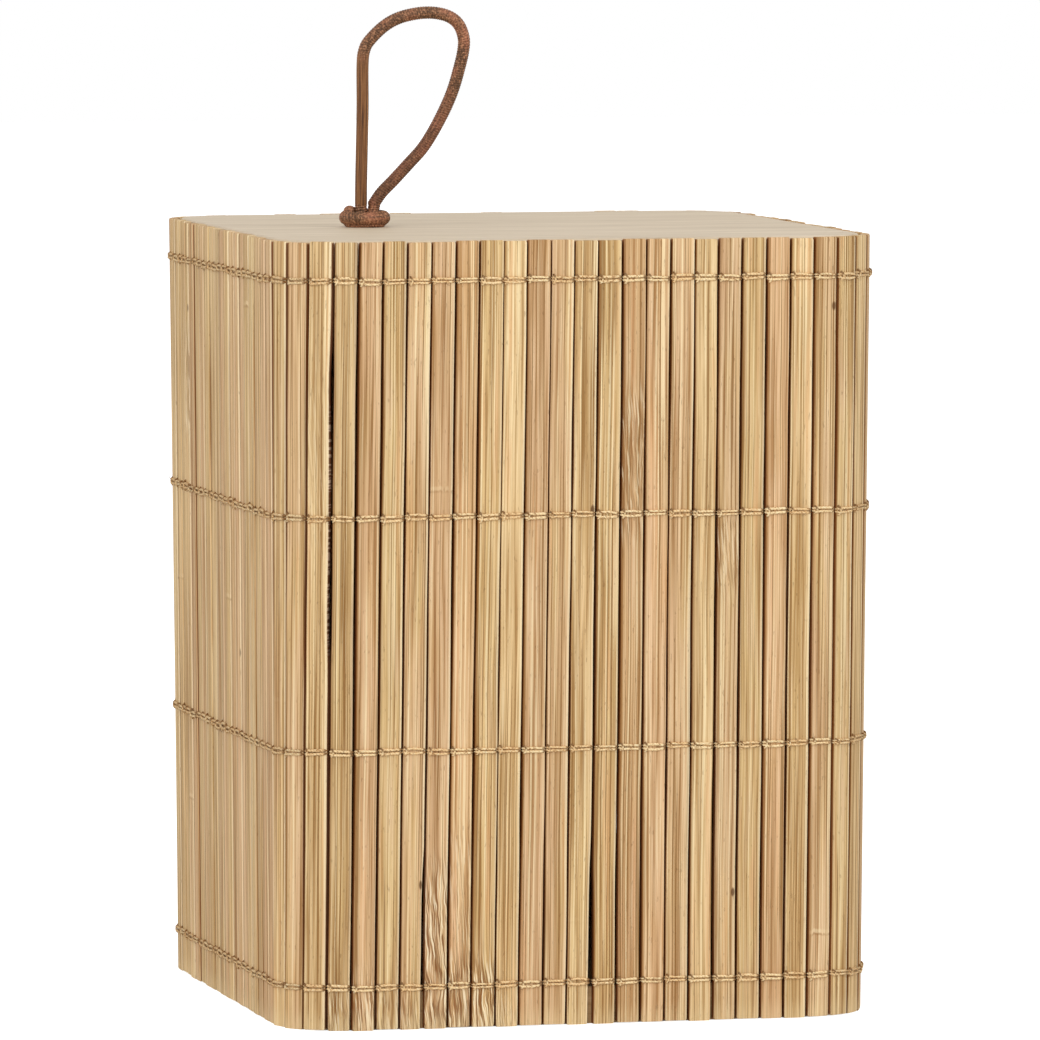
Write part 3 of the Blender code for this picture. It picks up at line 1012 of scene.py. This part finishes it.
@dataclass
class Tube:
    """A round tube swept along a line of points, which may be ribbed."""

    shop: Workshop
    sides: int = 16
    ribs: float = 0.0
    smooth_until: float = 0.0
    smooth_fade: float = 0.004
    smooth_share: float = 0.85
    round_steps: int = 0

    def sweep(
        self, name: str, points: list, radius: float, closed: bool = False, upright: float = 1.0
    ) -> bpy.types.Object:
        """Sweeps the tube.

        Args:
            name: The object's name.
            points: The points that it follows.
            radius: Its radius.
            closed: Whether its end runs into its start.
            upright: How much its section is scaled upright.

        Returns:
            The tube, with the map that its finish reads.
        """
        shares = [1.0] * len(points)
        if self.round_steps:
            first = self.round_end(points[0], points[0] - points[1], radius)
            last = self.round_end(points[-1], points[-1] - points[-2], radius)[::-1]
            shares = [share for _, share in first] + shares + [share for _, share in last]
            points = [point for point, _ in first] + points + [point for point, _ in last]
        count = len(points)
        vertices, lay, smooth = [], [], []
        along, side = 0.0, None
        for number, point in enumerate(points):
            before = points[number - 1] if number or closed else point
            after = points[(number + 1) % count] if number < count - 1 or closed else point
            way = (after - before).normalized()
            if side is None:
                side = way.cross(Vector((0, 0, 1)))
                side = side.normalized() if side.length > 0.1 else way.cross(Vector((0, 1, 0))).normalized()
            else:
                side = (side - way * side.dot(way)).normalized()
                along += (point - points[number - 1]).length
            up = side.cross(way)
            ribbed = min(max((along - self.smooth_until) / self.smooth_fade, 0.0), 1.0)
            calm = 1.0 - ribbed if self.smooth_until else 0.0
            for item in range(self.sides):
                share = item / self.sides
                turn = FULL_TURN * share
                wave = math.sin(FULL_TURN * (along / RopeLay.rib + share * RopeLay.slant))
                reach = radius * shares[number] * (1 + self.ribs * wave * (1 - self.smooth_share * calm))
                across = side * (math.cos(turn) * reach)
                vertices.append(point + across + up * (math.sin(turn) * reach * upright))
                lay.append((along, share))
                smooth.append(calm)
        piece = self.shop.mesh(name, vertices, skin(count, self.sides, closed, flipped=True))
        self.map(piece.data, lay, smooth)
        return piece

    def round_end(self, point: Vector, outwards: Vector, radius: float) -> list:
        """Points and radius shares, from the tip in, of the half ball that ends a tube.

        Args:
            point: Where the tube's line ends.
            outwards: The way out of the tube there.
            radius: The tube's radius.

        Returns:
            Pairs of a point and a share of the radius.
        """
        way = outwards.normalized()
        angles = [math.pi / 2 * (step + 1 / 3) / self.round_steps for step in range(self.round_steps)]
        return [(point + way * math.cos(angle) * radius, math.sin(angle)) for angle in angles]

    def map(self, data: bpy.types.Mesh, lay: list, smooth: list) -> None:
        """Keeps, on each corner of each face, the way along and around the tube.

        Args:
            data: The tube's mesh.
            lay: The way along and around at each point.
            smooth: How smooth the cord is at each point.
        """
        values = []
        for face in data.polygons:
            shares = [lay[item][1] for item in face.vertices]
            wraps = len(shares) == 4 and max(shares) - min(shares) > 0.5
            for item, share in zip(face.vertices, shares):
                values += [lay[item][0], share + 1.0 if wraps and share < 0.5 else share, 0.0]
        data.attributes.new("lay", "FLOAT_VECTOR", "CORNER").data.foreach_set("vector", values)
        data.attributes.new("smooth", "FLOAT", "POINT").data.foreach_set("value", smooth)


def smooth_route(places: list, step: float) -> list:
    """Points about every step along a smooth curve through the places.

    Args:
        places: The places that it passes through.
        step: The distance from one point to the next.

    Returns:
        The points.
    """
    ends = [2 * places[0] - places[1], *places, 2 * places[-1] - places[-2]]
    points = []
    for before, here, there, after in zip(ends, ends[1:], ends[2:], ends[3:]):
        count = max(1, round((there - here).length / step))
        for index in range(count):
            t = index / count
            straight = 2 * here + (there - before) * t
            curved = (2 * before - 5 * here + 4 * there - after) * t**2
            eased = (3 * here - before - 3 * there + after) * t**3
            points.append((straight + curved + eased) / 2)
    return [*points, places[-1]]


@dataclass
class Handle:
    """The cord handle: a standing loop, the knot it leaves, and the stopper knot under the lid."""

    shop: Workshop
    finish: Finish
    middle: float = -0.0371
    diameter: float = 0.0030
    lid_top: float = HEIGHT
    fold_height: float = 0.1958
    spread: float = 0.00165
    strand_step: float = 0.00015
    # For each turn of a knot: half its length, half its depth, and its height.
    upper_turn: tuple = (0.0047, 0.0031, 0.19235)
    under_turn: tuple = (0.0040, 0.0026, 0.1908)
    stopper_turn: tuple = (0.0045, 0.0029, 0.18185)
    # The radius of each turn, and of the tucked end.
    upper_radius: float = 0.00155
    under_radius: float = 0.00115
    stopper_radius: float = 0.0015
    tuck_radius: float = 0.00135
    knot_shift: float = -0.0007
    knot_tilt: float = 0.0002
    squareness: float = 0.8
    # Places beside the strands' middle: across and above the lid for the loop, else across, deep and high.
    loop_places: tuple = (
        (-0.0016, 0.0110), (-0.0014, 0.0200), (-0.0012, 0.0300), (-0.0012, 0.0400), (-0.0007, 0.0437),
        (0.0007, 0.0461), (0.0042, 0.0494), (0.0081, 0.0515), (0.0131, 0.0526), (0.0174, 0.0526),
        (0.0209, 0.0516), (0.0232, 0.0496), (0.0244, 0.0463), (0.0242, 0.0429), (0.0231, 0.0384),
        (0.0217, 0.0338), (0.0198, 0.0293), (0.0170, 0.0240), (0.0140, 0.0194), (0.0105, 0.0156),
        (0.0066, 0.0115), (0.0036, 0.0085),
    )
    tuck_places: tuple = (
        (-0.0048, -0.0012, 0.1926), (-0.0045, 0.0006, 0.1939), (-0.0030, 0.0024, 0.1935),
        (0.0004, 0.0031, 0.1932), (0.0030, 0.0024, 0.1925),
    )
    stub_places: tuple = (
        ((-0.0016, 0, 0.1905), (-0.0017, 0, 0.1935), (-0.00165, 0, 0.1956)),
        ((0.0013, 0, 0.1905), (0.0014, 0, 0.1935), (0.0018, 0, 0.1957)),
    )
    tail_ends: tuple = (0.1904, 0.1757)

    def route(self, places: list, step: float) -> list:
        """A smooth route through places that are given beside the middle of the two strands."""
        return smooth_route([Vector((self.middle + x, y, z)) for x, y, z in places], step)

    def loop(self) -> tuple[bpy.types.Object, list]:
        """Makes the standing loop.

        Returns:
            The loop and the points that it follows.
        """
        places = [(x, 0, self.lid_top + z) for x, z in self.loop_places]
        places = [(-self.spread, 0, self.fold_height), *places, (self.spread, 0, self.fold_height)]
        route = self.route(places, RopeLay.rib / 5)
        tube = Tube(self.shop, ribs=0.03, smooth_until=0.036, round_steps=4)
        return tube.sweep("loop_of_cord", route, self.diameter / 2 * 1.01), route

    def ring(self, half: float, deep: float, level: float, steps: int = 150) -> list:
        """The middle line of a turn round the two strands.

        Args:
            half: Half its length.
            deep: Half its depth.
            level: Its height.
            steps: How many points it has.

        Returns:
            Its points.
        """
        found = []
        for step in range(steps):
            angle = FULL_TURN * step / steps
            cos, sin = math.cos(angle), math.sin(angle)
            x = half * math.copysign(abs(cos) ** self.squareness, cos)
            y = deep * math.copysign(abs(sin) ** self.squareness, sin)
            found.append(Vector((self.middle + (x + self.knot_shift), y, level + self.knot_tilt * sin)))
        return found

    def knot(self) -> bpy.types.Object:
        """Makes the knot that stands on the lid: a full turn, a narrower one under it, and its tucked end.

        Returns:
            The knot.
        """
        tube = Tube(self.shop, ribs=0.07)
        upper, under = self.ring(*self.upper_turn), self.ring(*self.under_turn)
        tucked = self.route(self.tuck_places, RopeLay.rib / 4)
        pieces = [
            tube.sweep("upper_turn", upper, self.upper_radius, closed=True, upright=1.06),
            tube.sweep("under_turn", under, self.under_radius, closed=True, upright=0.68),
            tube.sweep("tucked_end", tucked, self.tuck_radius),
        ]
        stub = Tube(self.shop, ribs=0.05, round_steps=4)
        for places in self.stub_places:
            route = self.route(places, self.strand_step)
            pieces.append(stub.sweep("strand", route, self.diameter / 2 * 0.98))
        return self.shop.join("knot_on_lid", pieces)

    def stopper(self) -> bpy.types.Object:
        """Makes the strands through the lid and the knot that stops them under it.

        Returns:
            The stopper knot.
        """
        tube = Tube(self.shop, ribs=0.06)
        turn = self.ring(*self.stopper_turn)
        pieces = [tube.sweep("stopper_turn", turn, self.stopper_radius, closed=True, upright=1.1)]
        for x in (-self.spread, self.spread):
            route = self.route([(x, 0, level) for level in self.tail_ends], self.strand_step)
            pieces.append(tube.sweep("tail", route, self.diameter / 2 * 0.97))
        return self.shop.join("knot_under_lid", pieces)

    def build(self) -> None:
        """Makes the loop and both knots, gives them their bodies and finish, and hides the parts that they
        stand for.
        """
        knot, stopper = self.knot(), self.stopper()
        loop, route = self.loop()
        homes = (
            (knot, "lid", "handle_knot"),
            (stopper, "lid", "stopper_knot"),
            (loop, "handle", "handle_loop"),
        )
        for piece, body, node in homes:
            piece.data.materials.append(self.finish.material)
            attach(piece, body)
            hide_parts(node)
        length = sum((there - here).length for here, there in zip(route, route[1:]))
        LOG.info("handle: loop of %.1f mm of cord, %d faces", length / MM, len(loop.data.polygons))


@dataclass
class Stitching:
    """The four rows of chain stitch that sew the slats together, one stitch on each slat."""

    plan: Plan
    shop: Workshop
    finish: Finish
    radius: float = 0.00032
    gap: float = 0.0006
    seed: int = 23
    seed_step: float = 31.0
    smallest: tuple = (0.99, 0.97, 0.82)
    largest: tuple = (1.01, 1.03, 1.12)
    nudge: tuple = (0.00005, 0.0, 0.00022)
    tilt: float = 0.05
    wisp_radius: float = 0.00004
    fluff: float = 190000.0
    # For each kind of stitch: its name, how big the loop's head is, and how far its legs bow apart.
    forms: tuple = (("Plain stitch", 0.75, 0.0), ("Headed stitch", 1.0, 0.0), ("Slack stitch", 0.9, 0.00018))
    wisp_places: tuple = ((0, 0, 0), (0.0001, 0, 0.00035), (0.00035, 0, 0.0006), (0.0007, 0, 0.0007))

    def unit(self, name: str, head: float, slack: float) -> bpy.types.Object:
        """Makes one stitch: two legs over a slat, the thread behind it, and the head of the loop.

        Args:
            name: The object's name.
            head: How big the loop's head is, from 0 to 1.
            slack: How far the legs bow apart in the middle of the slat.

        Returns:
            The stitch, its slat's middle at the origin.
        """
        edge, out = self.plan.pitch / 2, self.plan.slat_thickness / 2
        half = (self.plan.pitch - self.gap) / 2
        leg = (
            (-half - 0.00016, 0.0007, 0.00020),
            (-half + 0.00002, -out + 0.00030, 0.00034),
            (-half + 0.00034, -out - 0.00020, 0.00042),
            (-half + 0.00100, -out - 0.00036, 0.00048 + slack * 0.3),
            (0.0003, -out - 0.00030, 0.00043 + slack),
            (half - 0.00090, -out - 0.00030, 0.00042),
            (half - 0.00030, -out - 0.00012, 0.00038),
            (half - 0.00002, -out + 0.00034, 0.00034),
            (half + 0.00016, 0.0007, 0.00020),
        )
        behind = (
            (-edge, 0.0004, 0),
            (-half + 0.0003, out + 0.00022, 0),
            (half - 0.0003, out + 0.00022, 0),
            (edge, 0.0004, 0),
        )
        reach = 0.00112 * head
        arc = (
            (-half + 0.00020, -out + 0.00004, reach),
            (-half + 0.00050, -out - 0.00048, reach * 0.62),
            (-half + 0.00070, -out - 0.00060, 0),
            (-half + 0.00050, -out - 0.00048, -reach * 0.62),
            (-half + 0.00020, -out + 0.00004, -reach),
        )
        lower, upper = ([Vector((x, y, side * z)) for x, y, z in leg] for side in (-1, 1))
        thread, thin = Tube(self.shop, sides=4), Tube(self.shop, sides=3)
        pieces = [
            thread.sweep("leg", lower, self.radius),
            thread.sweep("leg", upper, self.radius),
            thin.sweep("behind", [Vector(place) for place in behind], self.radius * 0.8),
            thread.sweep("head", [Vector(place) for place in arc], self.radius * 0.9),
        ]
        return self.shop.join(name, pieces)

    def wisp(self) -> bpy.types.Object:
        """Makes one loose fibre of cotton, bent, with its root at the origin."""
        places = [Vector(place) for place in self.wisp_places]
        return Tube(self.shop, sides=3).sweep("wisp", places, self.wisp_radius)

    def tree(self) -> bpy.types.NodeTree:
        """Builds the tree that lays a row of stitches round the wall line, with loose fibres on them.

        Returns:
            The tree. Its inputs are the line, the kinds of stitch, a wisp, how many wisps there are to a
            square metre, the row's seed and what every tree on the wall line is given.
        """
        names = [name for name, _, _ in self.forms]
        own = {"Wisp": "Object", "Fluff": "Float", "Seed": "Int"}
        t = WallTree("stitch_row", dict.fromkeys(names, "Object") | own)
        seeds = [t.given["Seed"] + self.seed_step * number for number in range(1, 7)]
        forms = [t.value("GeometryNodeGeometryToInstance", {0: t.shape(name)}) for name in reversed(names)]
        chosen = t.split(t.draw(seeds[0], (0.0, 0.0, 0.0), (1.0, 1.0, 1.0)))[0]
        size = t.draw(seeds[1], self.smallest, self.largest)
        pick = t.math("FLOOR", chosen * (len(names) - 0.001))
        stitch = {"Instance": t.gather(forms), "Pick Instance": True, "Instance Index": pick, "Scale": size}
        placed = t.stand(stitch)
        nudge = t.draw(seeds[2], tuple(-reach for reach in self.nudge), self.nudge)
        moved = t.value("GeometryNodeTranslateInstances", {"Instances": placed, "Translation": nudge})
        tilt = t.draw(seeds[3], (0.0, -self.tilt, 0.0), (0.0, self.tilt, 0.0))
        real = t.real(t.value("GeometryNodeRotateInstances", {"Instances": moved, "Rotation": tilt}))
        spread = {"Mesh": real, "Density": t.given["Fluff"], "Seed": t.given["Seed"]}
        wisps = {
            "Points": t.value("GeometryNodeDistributePointsOnFaces", spread),
            "Instance": t.shape("Wisp"),
            "Rotation": t.draw(seeds[4], (-3.14, -3.14, -3.14), (3.14, 3.14, 3.14)),
            "Scale": t.draw(seeds[5], (0.5, 0.5, 0.5), (1.3, 1.3, 1.3)),
        }
        loose = t.real(t.value("GeometryNodeInstanceOnPoints", wisps))
        return t.close(t.gather([loose, real]))

    def build(self) -> None:
        """Makes the four rows, each of them in place of its thread."""
        tree = self.tree()
        pieces = {name: self.unit(name, head, slack) for name, head, slack in self.forms}
        pieces["Wisp"] = self.wisp()
        shared = {**self.plan.inputs(), **pieces, "Fluff": self.fluff, "Material": self.finish.material}
        for number, level in enumerate(self.plan.rows(), 1):
            points = [point + Vector((0, 0, level)) for point in self.plan.wall_line()]
            line = self.shop.line("row_line", points)
            values = {**shared, "Seed": self.seed + number}
            row = self.shop.grow(f"stitch_row_{number}", line, tree, values)
            row.data.shade_smooth()
            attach(row, "box")
            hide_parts(f"thread_row_{number}")
            LOG.info("stitch row %d: %d faces", number, len(row.data.polygons))
        for piece in pieces.values():
            bpy.data.objects.remove(piece)


@dataclass
class Studio:
    """The camera, the lamps, the white surroundings and the pale floor."""

    shop: Workshop
    yaw: float = math.radians(-13.635)
    pitch: float = math.radians(4.331)
    distance: float = 2.45033
    lens: float = 341.96
    sensor: float = 36.0
    far_clip: float = 20.0
    aim: tuple = (0.00159, 0.0, 0.11686)
    lamp_aim: tuple = (0.0, 0.0, 0.1)
    # For each lamp: where it hangs, how wide it is, and how strong it is, in watts.
    lamps: tuple = (
        ("front_lamp", (-0.8, -1.6, 1.1), 1.2, 14.0),
        ("side_lamp", (1.4, -0.9, 0.9), 1.0, 7.5),
        ("left_lamp", (-1.9, -0.2, 0.8), 1.2, 4.6),
    )
    white: tuple = (1, 1, 1, 1)
    world_strength: float = 0.62
    floor_colour: tuple = (0.86, 0.86, 0.86, 1)
    floor_glow: float = 0.72
    floor_half: float = 6.0

    def stand(self, name: str, data: bpy.types.ID, place: Vector, back: Vector) -> bpy.types.Object:
        """Puts a camera or lamp at a place.

        Args:
            name: The object's name.
            data: The camera or lamp.
            place: Where it stands.
            back: The way that its back is turned.

        Returns:
            The object.
        """
        item = self.shop.show(name, data)
        item.location = place
        item.rotation_euler = back.to_track_quat("Z", "Y").to_euler()
        return item

    def camera(self) -> None:
        """Stands the camera where the photo was taken from."""
        data = bpy.data.cameras.new("camera")
        data.sensor_width = self.sensor
        data.sensor_fit = "HORIZONTAL"
        data.lens = self.lens
        data.clip_end = self.far_clip
        flat = math.cos(self.pitch)
        back = Vector((math.sin(self.yaw) * flat, -math.cos(self.yaw) * flat, math.sin(self.pitch)))
        place = Vector(self.aim) + back * self.distance
        bpy.context.scene.camera = self.stand("camera", data, place, back)

    def hang(self) -> None:
        """Hangs the soft square lamps, which face the box."""
        for name, place, size, power in self.lamps:
            data = bpy.data.lights.new(name, "AREA")
            data.shape = "SQUARE"
            data.size = size
            data.energy = power
            self.stand(name, data, Vector(place), Vector(place) - Vector(self.lamp_aim))

    def surroundings(self) -> None:
        """Makes the world white where it is seen, and a soft light elsewhere."""
        world = bpy.data.worlds.new("studio")
        bpy.context.scene.world = world
        world.use_nodes = True
        t = Tree(world.node_tree)
        path = t.add("ShaderNodeLightPath").outputs
        seen = t.math("MAXIMUM", path["Is Camera Ray"], path["Is Glossy Ray"])
        seen = t.math("MAXIMUM", seen, path["Is Transmission Ray"])
        soft = t.value("ShaderNodeBackground", {"Color": self.white, "Strength": self.world_strength})
        white = t.value("ShaderNodeBackground", {"Color": self.white, "Strength": 1.0})
        both = t.value("ShaderNodeMixShader", {0: seen, 1: soft, 2: white})
        t.add("ShaderNodeOutputWorld", {"Surface": both})

    def floor(self) -> None:
        """Lays the pale floor, which keeps the box's shadow."""
        size = self.floor_half
        corners = [(-size, -size, 0), (size, -size, 0), (size, size, 0), (-size, size, 0)]
        floor = self.shop.mesh("floor", corners, [(0, 1, 2, 3)], smooth=False)
        material = bpy.data.materials.new("floor")
        material.use_nodes = True
        t = Tree(material.node_tree)
        path = t.add("ShaderNodeLightPath").outputs
        matt = t.value("ShaderNodeBsdfDiffuse", {"Color": self.floor_colour})
        glow = t.value("ShaderNodeEmission", {"Color": self.white, "Strength": self.floor_glow})
        seen = t.value("ShaderNodeMixShader", {0: path["Is Camera Ray"], 2: glow})
        both = t.value("ShaderNodeAddShader", {0: matt, 1: seen})
        t.add("ShaderNodeOutputMaterial", {"Surface": both})
        floor.data.materials.append(material)

    def build(self) -> None:
        """Sets up everything round the box."""
        self.surroundings()
        self.floor()
        self.hang()
        bpy.context.scene.view_settings.view_transform = "Standard"
        LOG.info("studio: camera %.0f mm, %.2f m away", self.lens, self.distance)


@dataclass
class Boards:
    """The boards that keep their solids and get their wood: the lid, the base and the four battens."""

    lid: Finish
    base: Finish
    batten: Finish
    sides: tuple = ("front", "right", "back", "left")

    def dress(self) -> None:
        """Gives each board its finish."""
        finishes = {"lid_board": self.lid, "base_board": self.base}
        finishes |= {f"{side}_batten": self.batten for side in self.sides}
        for name, finish in finishes.items():
            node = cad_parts[name]
            node.data.materials.clear()
            node.data.materials.append(finish.material)
            LOG.info("%s: %s", name, finish.name)


def main() -> None:
    """Builds the scene, from the camera and the cord to the boards, and notes its size."""
    logging.basicConfig(level=logging.INFO, format="%(name)s: %(message)s")
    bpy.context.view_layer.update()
    plan, shop = Plan(), Workshop()
    studio = Studio(shop)
    studio.camera()
    Handle(shop, WaxedCord()).build()
    studio.build()
    SlatWall(plan, shop, Bamboo()).build()
    Stitching(plan, shop, Thread()).build()
    lid = Board("lid_wood", (212, 194, 168), (188, 168, 140), (226, 209, 184))
    base = Board("base_wood", (192, 156, 110), (160, 122, 78), (212, 180, 136))
    batten = Board("batten_wood", (212, 184, 142), (186, 154, 112), (226, 202, 162))
    Boards(lid, base, batten).dress()


if __name__ == "__main__":
    main()
